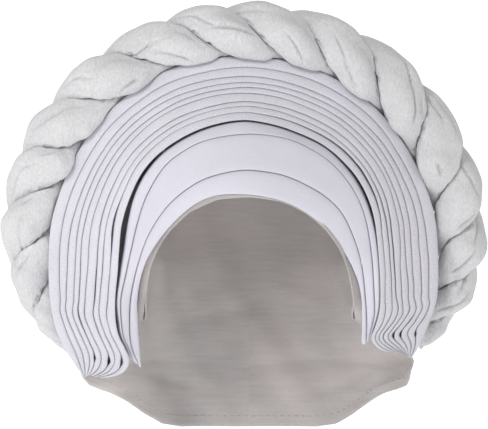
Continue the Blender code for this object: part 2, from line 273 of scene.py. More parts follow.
# %% The socket class
class Value:
    """A socket that carries a number, and can be used in an expression."""

    def __init__(self, tree, socket):
        self.tree, self.socket = tree, socket

    def math(self, operation, first, second):
        node = self.tree.nodes.new("ShaderNodeMath")
        node.operation = operation
        for place, part in enumerate((first, second)):
            if isinstance(part, Value):
                self.tree.links.new(part.socket, node.inputs[place])
            elif part is not None:
                node.inputs[place].default_value = part
        return Value(self.tree, node.outputs[0])

    def __add__(self, other):
        return self.math("ADD", self, other)

    def __sub__(self, other):
        return self.math("SUBTRACT", self, other)

    def __rsub__(self, other):
        return self.math("SUBTRACT", other, self)

    def __mul__(self, other):
        return self.math("MULTIPLY", self, other)

    def sine(self):
        return self.math("SINE", self, None)

    def clamped(self):
        return self.math("MINIMUM", self.math("MAXIMUM", self, 0.0), 1.0)


class Material:
    """A material's tree, with a method that adds any node and some for the nodes used most."""

    def __init__(self, name, roughness, sheen):
        self.material = bpy.data.materials.new(name)
        self.material.use_nodes = True
        self.tree = self.material.node_tree
        self.shader = self.tree.nodes["Principled BSDF"]
        for key, amount in (("Roughness", roughness), ("Sheen Weight", sheen),
                            ("Sheen Roughness", .5), ("Specular IOR Level", .3)):
            self.shader.inputs[key].default_value = amount
        self.place = self.node("ShaderNodeTexCoord").outputs["Object"]
        split = self.node("ShaderNodeSeparateXYZ", values={"Vector": self.place})
        self.sideways, self.upwards = (Value(self.tree, split.outputs[axis]) for axis in "XZ")

    def node(self, kind, settings=None, values=None):
        node = self.tree.nodes.new(kind)
        for key, setting in (settings or {}).items():
            setattr(node, key, setting)
        for key, part in (values or {}).items():
            if isinstance(part, Value):
                self.tree.links.new(part.socket, node.inputs[key])
            elif isinstance(part, bpy.types.NodeSocket):
                self.tree.links.new(part, node.inputs[key])
            else:
                node.inputs[key].default_value = part
        return node

    def noise(self, vector, scale, detail=2.0, rough=.5):
        node = self.node("ShaderNodeTexNoise", values={
            "Vector": vector, "Scale": scale, "Detail": detail, "Roughness": rough})
        return Value(self.tree, node.outputs["Fac"])

    def moved(self, vector, **settings):
        return self.node("ShaderNodeMapping", values={"Vector": vector, **settings}).outputs["Vector"]

    def mix(self, factor, first, second):
        node = self.node("ShaderNodeMix", {"data_type": "RGBA"})
        self.tree.links.new(factor.socket, node.inputs[0])
        for place, colour in ((6, first), (7, second)):
            if isinstance(colour, bpy.types.NodeSocket):
                self.tree.links.new(colour, node.inputs[place])
            else:
                node.inputs[place].default_value = (*colour, 1.0)
        return node.outputs[2]

    def finish(self, colour, height, distance, roughness):
        relief = self.node("ShaderNodeBump", values={
            "Height": height, "Distance": distance, "Strength": 1.0})
        for socket, key in ((colour, "Base Color"), (relief.outputs[0], "Normal"),
                            (roughness.socket, "Roughness")):
            self.tree.links.new(socket, self.shader.inputs[key])
        return self.material


# %% [markdown]
# ## Cloths
#
# The outer cloth is a matt lilac-grey weave. On the pleats its ribs run across each fold and catch the
# light as fine ticks. The same cloth lies smooth on the brow, where it is pulled tight. The braid is
# covered with a neutral crepe, and the lining is a taupe satin with long soft painted highlights. Ribs
# follow the cloth's UV map. Blotches of light and dark that cross from fold to fold, the painted shade on
# the right of the pleats and braid and the painted highlight on the satin's lower left read Object
# coordinates.


# %% Outer cloth
def ribbed_cloth(name, light, dark, speck, pitch, rib, grain, shade_from):
    """Matt cloth, ribbed across the fold, fine grained, with painted shade from shade_from metres right."""
    m = Material(name, .82, .12)
    uv = m.node("ShaderNodeUVMap", {"uv_map": "cloth"}).outputs[0]
    along = Value(m.tree, m.node("ShaderNodeSeparateXYZ", values={"Vector": uv}).outputs[0])
    drift = m.noise(m.place, 170.0)
    ribs = (along * (2 * np.pi / pitch) + drift * 11.0).sine() * .5 + .5
    blotch = m.noise(m.place, 42.0, 3.0)
    # painted shade: from shade_from metres right, away from the key light, the colour is mixed towards a
    # greyer one and gets more specks
    shaded = ((m.sideways + blotch * .03 - .015 - shade_from) * 28.0).clamped()
    fine = m.noise(m.moved(uv, Scale=(1.0, .45, 1.0)), 1150.0, 2.5, .65)
    blotches_and_painted_light = m.mix((blotch * 1.6 - .3).clamped(), dark, light)
    shade = tuple(part * .80 + .004 for part in (light[0], light[1], light[2] * .955))
    blotches_and_painted_light = m.mix(shaded * .55, blotches_and_painted_light, shade)
    specks = ((1.0 - fine) * 1.5 - .25) * (shaded * .25 + 1.0) * grain
    colour = m.mix(((1.0 - ribs) * rib + specks).clamped(), blotches_and_painted_light, speck)
    return m.finish(colour, ribs * rib + fine * grain * 1.6, .00035, blotch * .08 + .78)


pleat_cloth = ribbed_cloth("pleat_cloth", (.83, .815, .875), (.755, .745, .80), (.40, .39, .44),
                           .0016, .13, .52, .07)
band_cloth = ribbed_cloth("band_cloth", (.72, .705, .775), (.685, .67, .735), (.45, .44, .51),
                          .0011, .05, .30, .30)
cap_cloth = ribbed_cloth("cap_cloth", (.76, .75, .80), (.66, .65, .70), (.36, .35, .40),
                         .0015, .14, .45, .30)
print("outer cloths", pleat_cloth.name, band_cloth.name, cap_cloth.name)


# %% Braid crepe and lining satin
def crepe_cloth(name, light, dark, speck, shade_from):
    """Matt crepe: a short diagonal grain over soft blotches, and painted shade that greys it from
    shade_from metres right.
    """
    m = Material(name, .86, .18)
    slanted = m.moved(m.place, Rotation=(0.0, .75, 0.0), Scale=(1.0, .6, .35))
    grain = m.noise(slanted, 1000.0, 2.5, .7)
    pebble = m.noise(m.place, 520.0, 2.0, .6)
    blotch = m.noise(m.place, 34.0, 3.0)
    # painted shade: from shade_from metres right the crepe is mixed towards a darker copy of its light
    # colour
    shaded = ((m.sideways + blotch * .04 - .02 - shade_from) * 20.0).clamped()
    blotches_and_painted_light = m.mix((blotch * 1.7 - .35).clamped(), dark, light)
    blotches_and_painted_light = m.mix(shaded * .45, blotches_and_painted_light, tuple(part * .84 for part in light))
    fade = ((1.0 - grain) * .85 + (1.0 - pebble) * .40 - .36).clamped()
    colour = m.mix(fade, blotches_and_painted_light, speck)
    return m.finish(colour, grain * .9 + pebble * .7, .0006, blotch * .08 + .82)


def satin_cloth(name, light, dark, sheen, warm):
    """Satin: long soft streaks along the cloth, painted highlights in its colour, painted sheen on its
    threads, a warm tint in patches and a low roughness. A painted highlight makes it paler on the lower
    left, where it is turned to the light."""
    m = Material(name, .34, .25)
    uv = m.node("ShaderNodeUVMap", {"uv_map": "cloth"}).outputs[0]
    streak = m.noise(m.moved(uv, Scale=(1.0, 7.0, 1.0)), 46.0, 3.0)
    thread = m.noise(m.moved(uv, Scale=(1.0, 16.0, 1.0)), 420.0, 2.0, .6)
    blotch = m.noise(m.place, 26.0)
    tint = m.noise(m.moved(m.place, Location=(.31, .2, .17)), 17.0, 1.0)
    # painted highlight: the long streaks, mixed with random blotches, lighten the colour along the cloth
    blotches_and_painted_light = m.mix((blotch * .9 + streak * .9 - .45).clamped(), dark, light)
    blotches_and_painted_light = m.mix((tint * 3.2 - 1.35).clamped() * .55, blotches_and_painted_light, warm)
    # painted highlight: the satin is paler towards the lower left, where the light falls
    lit = (m.sideways * -22.0 - 1.35 + blotch * .5).clamped() * (m.upwards * -40.0 - 7.0).clamped()
    blotches_and_painted_light = m.mix(lit * .75, blotches_and_painted_light, tuple(part * 1.42 for part in light))
    # painted sheen: the fine threads are mixed towards the paler sheen colour
    colour = m.mix((thread * .5 - .08).clamped(), blotches_and_painted_light, sheen)
    return m.finish(colour, streak * .6 + thread * .3, .0005, streak * .24 + .25)


braid_crepe = crepe_cloth("braid_cloth", (.80, .80, .81), (.71, .71, .72), (.36, .36, .37), .045)
# its third colour is the satin's painted sheen on the threads
lining_satin = satin_cloth("satin_lining", (.47, .44, .43), (.31, .29, .285), (.64, .62, .61),
                           (.52, .44, .43))
print("braid and lining cloths", braid_crepe.name, lining_satin.name)

# %% [markdown]
# ## Camera, floor and light
#
# The wrap is seen straight from the front and from far away, with almost no perspective, so we stand
# the camera 3.2 m off with a long lens. The photo's ground is plain white: a white sweep of floor and
# backdrop, one strong soft light in front and above, a weak one at each side and one behind.

# %% Stage
PHOTO_WIDTH, SENSOR_WIDTH = 488, 36.0
WORLD_LIGHT, PAPER_LIGHT = .41, .52
SWEEP_HALF_WIDTH = 8.0
SWEEP = [(-8.0, -.30), (5.8, -.30), (6.4, -.24), (6.8, -.02), (6.9, .4), (6.9, 5.0)]
LIGHTS = [
    # name, place, height of the point that it faces, size, power
    ("key", (-1.1, -2.4, 1.6), -.06, 1.0, 31.5),
    ("fill_left", (-2.4, -1.2, .1), -.08, 1.2, 7.4),
    ("fill_right", (2.2, -1.6, .4), -.08, 1.2, 2.4),
    ("back", (.3, 1.7, 1.4), -.05, 1.0, 8.0),
]


def add_area(name, place, height, size, power):
    light = bpy.data.lights.new(name, "AREA")
    light.shape = "DISK"
    light.size = size
    light.energy = power
    lamp = add_object(name, light)
    lamp.location = place
    lamp.rotation_euler = (Vector((0, 0, height)) - Vector(place)).to_track_quat("-Z", "Y").to_euler()


def add_stage():
    curve = spline(SWEEP, 8)
    verts = [(side * SWEEP_HALF_WIDTH, y, z) for side in (-1, 1) for y, z in curve]
    count = len(curve)
    mesh = bpy.data.meshes.new("floor")
    mesh.from_pydata(verts, [], [(n, n + count, n + 1 + count, n + 1) for n in range(count - 1)])
    mesh.shade_smooth()
    paper = bpy.data.materials.new("white_paper")
    paper.use_nodes = True
    shader = paper.node_tree.nodes["Principled BSDF"]
    for key, amount in (("Base Color", (.95, .95, .95, 1.0)), ("Roughness", .9),
                        ("Emission Color", (1.0, 1.0, 1.0, 1.0)), ("Emission Strength", PAPER_LIGHT)):
        shader.inputs[key].default_value = amount
    mesh.materials.append(paper)
    floor = add_object("floor", mesh)


add_stage()
camera = bpy.data.cameras.new("camera")
camera.sensor_width = SENSOR_WIDTH
camera.lens = SENSOR_WIDTH * CAMERA_AWAY / (PHOTO_WIDTH * SQUARE)
camera.clip_end = 50.0
viewer = add_object("camera", camera)
viewer.location = (CAMERA_AIM[0], CAMERA_AIM[1] - CAMERA_AWAY, CAMERA_AIM[2])
viewer.rotation_euler = (np.pi / 2, 0.0, 0.0)
bpy.context.scene.camera = viewer
bpy.context.scene.view_settings.view_transform = "Standard"
world = bpy.data.worlds.new("studio")
world.use_nodes = True
world.node_tree.nodes["Background"].inputs["Color"].default_value = (1.0, 1.0, 1.0, 1.0)
world.node_tree.nodes["Background"].inputs["Strength"].default_value = WORLD_LIGHT
bpy.context.scene.world = world
for row in LIGHTS:
    add_area(*row)
print("camera lens", round(camera.lens, 1))

# %% [markdown]
# ## Brow bands
#
# Over the brow the cloth is folded three times into wide smooth bands, lightly padded. Each is a
# tube between two of the halo's lines: a calm rounded front, and sides that run back to the lining.

# %% Fold sections
PLEAT_DEPTH = 0.026
SPREAD_INNER, SPREAD_RIM = .26, -.12  # metres outwards for a metre back, at the brow and at the rim


def by_place(triple):
    """A top, side and end value at all places."""
    top, side, end = triple
    return side + (top - side) * ARCH + (end - side) * ease(np.abs(PLACES) - 1)


def unit(vectors):
    return vectors / np.linalg.norm(vectors, axis=-1, keepdims=True)


outward = halo["rim"] - halo["brow_edge"]
outward[:, 1] = 0.0
outward = unit(outward)


def back_direction(share):
    """How a fold's leaf runs back from its front edge, for each metre of its depth."""
    spread = (SPREAD_INNER + (SPREAD_RIM - SPREAD_INNER) * np.asarray(share)).reshape(-1, 1)
    return np.array([0.0, 1.0, 0.0]) + outward * spread


def fold_outline(square, count):
    """Points across (0 to 1) and back (shares of the nose) round the front of one fold."""
    angle = np.linspace(np.pi, 0.0, count)
    across = .5 + .5 * np.sign(np.cos(angle)) * np.abs(np.cos(angle)) ** (2 / square)
    return across, 1.0 - np.abs(np.sin(angle)) ** (2 / square)


def fold_rings(inner, outer, inner_leaf, outer_leaf, nose, square, clears, roots, count=21, walls=5):
    """Rings of one fold: a rounded nose between two lines, and two walls back to its roots."""
    width = np.linalg.norm(outer - inner, axis=1)
    depth = np.linalg.norm(inner_leaf, axis=1)
    across, lift = fold_outline(square, count)
    root_in, root_out = roots
    reach = np.minimum(nose, .8 * width)
    reach = np.minimum(reach, .5 * depth)
    steps = np.arange(1, walls + 1) / walls
    share_across = np.concatenate([root_in * steps[::-1], across, 1 - (1 - root_out) * steps])
    back_nose = np.concatenate([np.ones(walls), lift, np.ones(walls)])
    back_wall = np.concatenate([steps[::-1], np.zeros(count), steps])
    back = back_nose[None] * reach[:, None] + back_wall[None] * (depth - reach)[:, None]
    back = back / depth[:, None]
    near_hold, far_hold = (np.minimum(clear / width, .3)[:, None] for clear in clears)
    share = (near_hold + share_across[None] * (1 - near_hold - far_hold))[..., None]
    near = inner[:, None] + inner_leaf[:, None] * back[..., None]
    far = outer[:, None] + outer_leaf[:, None] * back[..., None]
    return near + (far - near) * share


def round_ends(rings, length):
    """Draw the last few rings together, so that a fold ends in a soft round tip."""
    along = lengths(rings.mean(1))
    for gap in (along, along[-1] - along):
        t = np.clip(gap / length, 0.0, 1.0)
        size = np.sqrt(1.0 - (1.0 - t) ** 2).clip(.06)
        middle = rings.mean(1, keepdims=True)
        rings = middle + (rings - middle) * size[:, None, None]
    return rings


# %% Build the bands
BAND_SEAM, BAND_TIP = .0002, .004
ROOTS = (.24, .76)  # where a fold's two walls end at its back, as shares of its width
BANDS = [
    # name, inner line, outer line, depth at top, side and end, length and squareness of the nose
    ("brow_band_1", "brow_edge", "band_1_2", (.24, .24, .20), .0042, 2.6),
    ("brow_band_2", "band_1_2", "band_2_3", (.46, .30, .22), .0034, 3.4),
    ("brow_band_3", "band_2_3", "gap_in", (.60, .36, .25), .0030, 3.0),
]
band_pieces = []
for name, inner, outer, depths, nose, square in BANDS:
    leaf = back_direction(np.zeros(len(PLACES))) * (by_place(depths) * PLEAT_DEPTH)[:, None]
    rings = fold_rings(halo[inner], halo[outer], leaf, leaf, nose, square,
                       (BAND_SEAM, BAND_SEAM), ROOTS)
    piece = tube(name + "_cloth", round_ends(rings, BAND_TIP), band_cloth)
    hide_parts(name)
    band_pieces.append(piece)
    print(piece.name, len(piece.data.polygons), "faces")

# %% [markdown]
# ## Pleats
#
# Nine leaves of the same cloth stand side by side between the brow and the braid. On the real wrap they
# are ironed folds that a gather holds at each side. All leaves share their edges, so we blend from
# the inner line to the rim by a short table, add a slight hand-folded wobble to each shared edge, and
# let some folds stand open, as the photo shows.

# %% Pleat edges
PLEAT_EDGES = [
    # share of the way to the rim: top, left, right
    (.000, .000, .000), (.126, .114, .105), (.213, .221, .205), (.291, .307, .295), (.425, .436, .395),
    (.504, .536, .490), (.591, .621, .610), (.677, .729, .730), (.819, .836, .850), (1.00, 1.00, 1.00),
]
EDGE_GAPS = [.12, .14, .11, .24, .11, .15, .10, .13, .12, .06]  # mm at each edge
OPEN_FOLDS = [
    # edge, place, half length, gap in mm: slits on both sides and pockets where the gathers turn
    (1, -.72, .09, 1.6), (1, .40, .20, 1.2), (1, .56, .12, .9), (5, -1.20, .16, .5), (3, -.95, .10, .5),
    (3, -1.62, .04, 2.0), (5, -1.62, .035, 1.4), (1, -1.60, .04, 1.8), (2, .70, .20, .5), (3, .78, .16, .4),
    (5, 1.50, .045, 1.6), (6, 1.51, .045, 1.5), (8, 1.55, .045, 1.4), (6, 1.33, .07, .5),
]
INNER_LEAF, RIM_LEAF = (1.80, .92, .30), (1.00, .92, .30)
PLEAT_NOSE, PLEAT_SQUARENESS, PLEAT_LEAN, PLEAT_TIP = .0025, 2.8, .0006, .003


def bump(middle, width):
    """A soft bump of height 1 along the halo."""
    return np.exp(-((PLACES - middle) / width) ** 2)


def edge_gap(number):
    """Half of the gap at one edge of the pleats, at all places."""
    gap = np.full(len(PLACES), EDGE_GAPS[number])
    for edge, middle, width, opening in OPEN_FOLDS:
        if edge == number:
            gap = gap + opening * bump(middle, width)
    return gap * .001 / 2


def pleat_edge(number):
    """The front line of one edge of the pleats, and its share of the way to the rim."""
    top, left, right = PLEAT_EDGES[number]
    side = np.where(PLACES < 0, left, right)
    share = side + (top - side) * ARCH
    belly = 4 * share * (1 - share)
    share = share + belly * (.05 * (bump(1.18, .13) - bump(.86, .14)) - .10 * bump(1.52, .13))
    share = share + belly * .045 * bump(-1.14, .14)
    if 0 < number < len(PLEAT_EDGES) - 1:
        fade = np.clip(2.0 - np.abs(PLACES), 0, 1)
        share = share + (.009 + .009 * bump(1.05, .35)) * wave(PLACES * 1.1, number * 1.7) * fade
        share = share + .0045 * wave(PLACES * 4.5, number * 3.1 + .2) * fade * (.4 + bump(1.0, .4))
    share = share[:, None]
    return halo["gap_out"] * (1 - share) + halo["rim"] * share, share[:, 0]


def leaf_depth(share):
    inner, rim = by_place(INNER_LEAF), by_place(RIM_LEAF)
    return (inner + (rim - inner) * share) * PLEAT_DEPTH


# %% Build the pleats
pleat_pieces = []
for number in range(1, len(PLEAT_EDGES)):
    inner, inner_share = pleat_edge(number - 1)
    outer, outer_share = pleat_edge(number)
    inner_leaf = back_direction(inner_share) * leaf_depth(inner_share)[:, None]
    outer_leaf = back_direction(outer_share) * leaf_depth(outer_share)[:, None]
    rings = fold_rings(inner, outer, inner_leaf, outer_leaf, PLEAT_NOSE, PLEAT_SQUARENESS,
                       (edge_gap(number - 1), edge_gap(number)), ROOTS, 17, 4)
    rings[..., 1] += PLEAT_LEAN * wave(PLACES * .8, number * 2.9 + .4)[:, None]
    piece = tube("pleat_%02d_cloth" % number, round_ends(rings, PLEAT_TIP), pleat_cloth)
    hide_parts("pleat_%02d" % number)
    pleat_pieces.append(piece)
print("pleats", len(pleat_pieces), "each with", len(pleat_pieces[0].data.polygons), "faces")

# %% [markdown]
# ## Braid
#
# Round the halo lies a braid of three padded tubes, as fat as a finger each. A real one is plaited from
# stuffed tubes that press on each other. Here the three tubes turn round the braid's middle by the
# same rule as in the source, at the places where the photo shows the grooves. Each section is a circle
# pressed flat against its neighbours and the halo's rim, and swells where the tube lies on top.

# %% Braid course
BRAID_RADIUS, BRAID_WIDTH, BRAID_CENTRE = 0.1555, 0.039, (-.0038, -.102)
BRAID = np.array([
    # angle from the top, then shares of BRAID_RADIUS, of BRAID_WIDTH and of HALO_DEPTH (set back)
    (-120, .925, .30, .160), (-113, .940, .52, .200), (-107, .952, .66, .210), (-97, .972, .82, .190),
    (-84, .980, .97, -.020), (-60, .981, 1.01, -.205), (-30, .984, .95, -.320), (0, .986, .98, -.380),
    (30, .989, 1.03, -.320), (60, .980, 1.03, -.200), (84, .978, .87, -.050), (97, .966, .68, .095),
    (107, .928, .44, .190), (117, .898, .20, .160),
])
# angles from the top at which one tube passes under the next
GROOVES = [-117, -102, -87.5, -73.6, -60.6, -43.7, -26.3, -10, 5.2, 20.4, 38.4, 54.8, 71.5, 85.5,
           98.5, 110, 121]
BRAID_STEPS, STRAND_SIDES = 800, 112
STRAND_OFFSET, STRAND_RADIUS = .45, .58  # shares of half the braid's width
STRAND_GAP, RIM_GAP, STRAND_TIP = .0003, .0005, .006
FATTER_OUTSIDE, FULLNESS, SINK = .21, 1.09, .13
LEAN = np.array([
    # angle from the top, how many degrees the outer side of the braid runs ahead of its middle
    (-120, 4.0), (-85, 3.8), (-55, 3.4), (-30, 2.9), (0, .9), (25, 2.0), (60, 3.8), (85, 4.0),
    (121, 3.0),
])
FRONT_LEAN = np.array([
    # angle from the top, how many degrees the front of the braid runs ahead of its sides
    (-120, 1.0), (-85, 1.0), (-68, 2.6), (-52, 1.0), (-38, 2.0), (0, 2.4), (18, 3.6), (60, 3.6),
    (85, 2.0), (121, 1.5),
])
LOBE_FOLDS = [
    # angle, half length and how far round from the outer side to the front, drift, depth in CREASE_UNIT
    (-76.0, 4.5, .95, .10, 2.2), (-60.5, 6.0, .75, -.10, 2.4), (-47.0, 3.5, .90, .25, 1.8),
    (-31.0, 6.0, 1.75, -.55, 2.0), (-20.0, 6.5, 2.05, .30, 2.2), (-14.5, 4.5, .90, .35, 2.4),
    (-4.0, 7.0, 1.10, -.35, 2.2), (12.0, 4.0, 1.80, .35, 1.6), (23.0, 3.5, 1.55, .40, 1.6),
    (31.0, 6.0, 2.10, .25, 1.6), (43.5, 8.0, .80, .30, 2.6), (50.0, 5.0, .55, .10, 1.6),
    (66.0, 4.5, 1.15, -.40, 1.8), (80.0, 4.0, .95, .30, 2.0), (92.0, 6.0, 1.35, .20, 2.2),
    (101.0, 4.5, 1.20, .30, 1.8), (-96.0, 4.5, 1.00, .20, 1.8), (-88.0, 5.0, 1.60, -.30, 1.5),
]


def smooth_table(rows, places, column):
    """A smooth value between the rows of a table, whose first column is the place."""
    index = np.clip(np.searchsorted(rows[:, 0], places) - 1, 0, len(rows) - 2)
    low, high = rows[index], rows[index + 1]
    share = ease((places - low[:, 0]) / (high[:, 0] - low[:, 0]))
    return low[:, column] + (high[:, column] - low[:, column]) * share


angles = np.linspace(BRAID[0, 0], BRAID[-1, 0], BRAID_STEPS)
turned = np.interp(angles, GROOVES, np.arange(len(GROOVES))) * 2 * np.pi / 3 + np.pi / 2
turned = np.convolve(np.pad(turned, 12, mode="reflect", reflect_type="odd"), np.ones(25) / 25, "valid")
half = smooth_table(BRAID, angles, 2) * BRAID_WIDTH / 2 * FULLNESS
braid_radius = smooth_table(BRAID, angles, 1) * BRAID_RADIUS - half * SINK
set_back = smooth_table(BRAID, angles, 3) * HALO_DEPTH
print("braid turns", round((turned[-1] - turned[0]) / (2 * np.pi), 1), "times")

# %% Strand sections
FAR, SHALLOW, CORNER = 1e3, .02, 14.0  # no limit, the flattest crossing, sharpness of pressed corners
TUCK, SLACK, OVER_RIM = .0030, .00045, .0042  # tucks in the grooves, a loose cover, lap over the rim
CREASE_UNIT, CREASE_WIDTH = .0015, .062
lean, front_lean = smooth_table(LEAN, angles, 1), smooth_table(FRONT_LEAN, angles, 1)


def rim_at(wanted):
    """How far the halo's rim lies from the braid's centre, and how far forward, at some angles."""
    across = halo["rim"][:, 0] - BRAID_CENTRE[0]
    up = halo["rim"][:, 2] - BRAID_CENTRE[1]
    turn = np.degrees(np.arctan2(across, up))
    return np.interp(wanted, turn, np.hypot(across, up)), np.interp(wanted, turn, halo["rim"][:, 1])


def lobe_fold(way, turn):
    """Long creases on the outer side of some lobes, where the tube's cover is folded over."""
    depth = np.zeros(way.shape)
    outer = ease((np.cos(turn - .6) - .05) / .4)
    for place, reach, direction, drift, deep in LOBE_FOLDS:
        along = np.exp(-((angles - place) / reach) ** 4) * outer
        course = direction + drift * (angles - place) / reach
        across = (way - course[:, None]) / CREASE_WIDTH
        depth += deep * CREASE_UNIT * along[:, None] * np.exp(-np.abs(across) ** 1.3)
    return depth


def strand_rings(strand):
    """Rings of one strand. In a section, u points outwards and v to the front."""
    turns = [turned + 2 * np.pi / 3 * (n + .5) for n in range(3)]
    spots = [np.stack([np.cos(t), np.sin(t)], 1) * (STRAND_OFFSET * half)[:, None] for t in turns]
    sizes = [STRAND_RADIUS * half * (1 + FATTER_OUTSIDE * np.cos(t - np.pi / 6)) for t in turns]
    own, size, turn = spots[strand], sizes[strand], turns[strand]
    around = turn[:, None] + 2 * np.pi * (np.arange(STRAND_SIDES) + .5) / STRAND_SIDES
    ways = np.stack([np.cos(around), np.sin(around)], axis=-1)
    reach = np.repeat(size[:, None], STRAND_SIDES, axis=1)
    rim, rim_y = rim_at(angles - lean)
    press = own[:, 0] + braid_radius - rim - RIM_GAP + SPREAD_RIM * (rim_y - set_back + own[:, 1])
    inward = -ways[..., 0] - SPREAD_RIM * ways[..., 1]
    wall = np.where(inward > SHALLOW, press[:, None].clip(.002) / inward.clip(SHALLOW), FAR)
    limit = np.full_like(reach, FAR)
    for other in range(3):
        if other != strand:
            gap = spots[other] - own
            far = np.linalg.norm(gap, axis=1)
            plane = (far ** 2 + size ** 2 - sizes[other] ** 2) / (2 * far) - STRAND_GAP / 2
            towards = np.einsum("ijk,ik->ij", ways, gap / far[:, None])
            pressed = plane[:, None] / towards.clip(SHALLOW)
            limit = np.minimum(limit, np.where(towards > SHALLOW, pressed, FAR))
    tight = np.clip(1 - np.abs(limit / reach - 1.04) / .26, 0, 1) ** 1.5
    pull = wave(angles[:, None] / 5.2 + around * .55, strand * 1.3 + .3, (1.0, 1.9, 2.7))
    pull = (pull * .5 + .5).clip(0) ** 2
    patch = ease(wave(angles / 23.0, strand * 2.1 + .2)[:, None] * .9 + .6)
    slack = wave(angles[:, None] / 9.0 + around * .3, strand * 2.7 + 1.1, (1.0, 1.6)) * SLACK
    soft = (reach ** -CORNER + limit ** -CORNER + wall ** -CORNER) ** (-1 / CORNER)
    soft = soft - TUCK * tight * pull * patch + slack * (1 - tight)
    way = (around + np.pi) % (2 * np.pi) - np.pi
    soft -= lobe_fold(way, turn)
    section = own[:, None] + ways * soft[..., None]
    over_rim = section[..., 1] + (rim_y - set_back)[:, None]
    section[..., 0] -= OVER_RIM * ease((over_rim + .0010) / .0075)
    runs_ahead = lean[:, None] * section[..., 0] + front_lean[:, None] * section[..., 1]
    shifted = np.radians(angles[:, None] + runs_ahead / half[:, None])
    radius = braid_radius[:, None] + section[..., 0]
    return np.stack([BRAID_CENTRE[0] + radius * np.sin(shifted),
                     set_back[:, None] - section[..., 1],
                     BRAID_CENTRE[1] + radius * np.cos(shifted)], axis=-1)


# %% Build the strands
for strand in range(3):
    rings = round_ends(strand_rings(strand), STRAND_TIP)
    piece = tube("braid_strand_%d_cloth" % (strand + 1), rings, braid_crepe)
    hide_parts("braid_strand_%d" % (strand + 1))

# %% [markdown]
# ## Cap and lining
#
# Under the halo sits a cap of the outer cloth with a satin lining, cut like a bathing cap that runs
# down to the nape. Both are one dome over the hollow, drawn by meridians from the crown down. A sculpted
# dome would do as well, but the shared meridians keep the two cloths apart at every point. The cap gets
# soft gathers that run down from the halo, and the satin a few long creases.

# %% Dome tables
HEAD_WIDTH, HEAD_LENGTH, CROWN_DEPTH, HEM_DROP = 0.150, 0.190, 0.098, 0.229
NAPE_FLARE, FLARE_START, FLARE_END, FLARE_BEND = 0.044, 0.110, 0.181, 1.3
FLARE_FRONT, FLARE_FULL, CAP_SIDE_EDGE = 91.0, 98.0, 85.0
LINING_THICKNESS, CAP_THICKNESS, CAP_CLEARANCE = 0.0012, 0.0020, 0.0008
MERIDIANS = np.array([
    # azimuth from the front, lower edge of the lining as a share of HEM_DROP, front edge of the cap
    (0, .275, .32), (14, .284, .33), (28, .321, .35), (40, .375, .38), (51, .434, .42),
    (61, .493, .46), (70, .562, .50), (78, .622, .54), (85, .651, .556), (91, .656, .556),
    (94, .671, .556), (98, .715, .556), (101, .765, .556), (106, .824, .556), (112, .864, .556),
    (120, .888, .556), (128, .918, .556), (136, .956, .556), (144, .990, .556), (152, 1.00, .556),
    (166, 1.00, .556), (180, 1.00, .556),
])
MAP_RADIUS = .085


def dome_points(azimuths, shares):
    """Points of the lining's inner side, for azimuths and shares of their meridians, row by row."""
    azimuths, shares = np.broadcast_arrays(np.asarray(azimuths, float), shares)
    edge = np.interp(np.abs(azimuths), MERIDIANS[:, 0], MERIDIANS[:, 1]) * HEM_DROP
    quarter = CROWN_DEPTH * np.pi / 2
    bent = CROWN_DEPTH * np.arccos(np.clip(1 - edge / CROWN_DEPTH, -1, 1))
    reach = np.where(edge < CROWN_DEPTH, bent, quarter + edge - CROWN_DEPTH) * shares
    bend = np.minimum(reach / CROWN_DEPTH, np.pi / 2)
    down = CROWN_DEPTH * (1 - np.cos(bend)) + np.maximum(reach - quarter, 0)
    flare = np.clip((down - FLARE_START) / (FLARE_END - FLARE_START), 0, 1) ** FLARE_BEND
    turn = np.radians(azimuths)
    side = ease((np.abs(azimuths) - FLARE_FRONT) / (FLARE_FULL - FLARE_FRONT))
    side = side * np.abs(np.sin(turn)) ** 1.3
    radius = 1 / np.hypot(np.sin(turn) / (HEAD_WIDTH / 2), np.cos(turn) / (HEAD_LENGTH / 2))
    radius = radius * np.sin(bend) + NAPE_FLARE * flare * side
    return np.stack([radius * np.sin(turn), -radius * np.cos(turn), -down], axis=-1)


# %% Dome mesh
def grid_normals(points):
    """Outward normals of a dome grid that is closed round its columns."""
    along = np.gradient(points, axis=0)
    around = (np.roll(points, -1, axis=1) - np.roll(points, 1, axis=1)) / 2
    normals = unit(np.cross(along, around) + 1e-12)
    facing = np.einsum("ijk,ijk->ij", normals, points - np.array([0.0, 0.0, -.12]))
    return normals * np.where(np.median(facing) > 0, 1.0, -1.0)


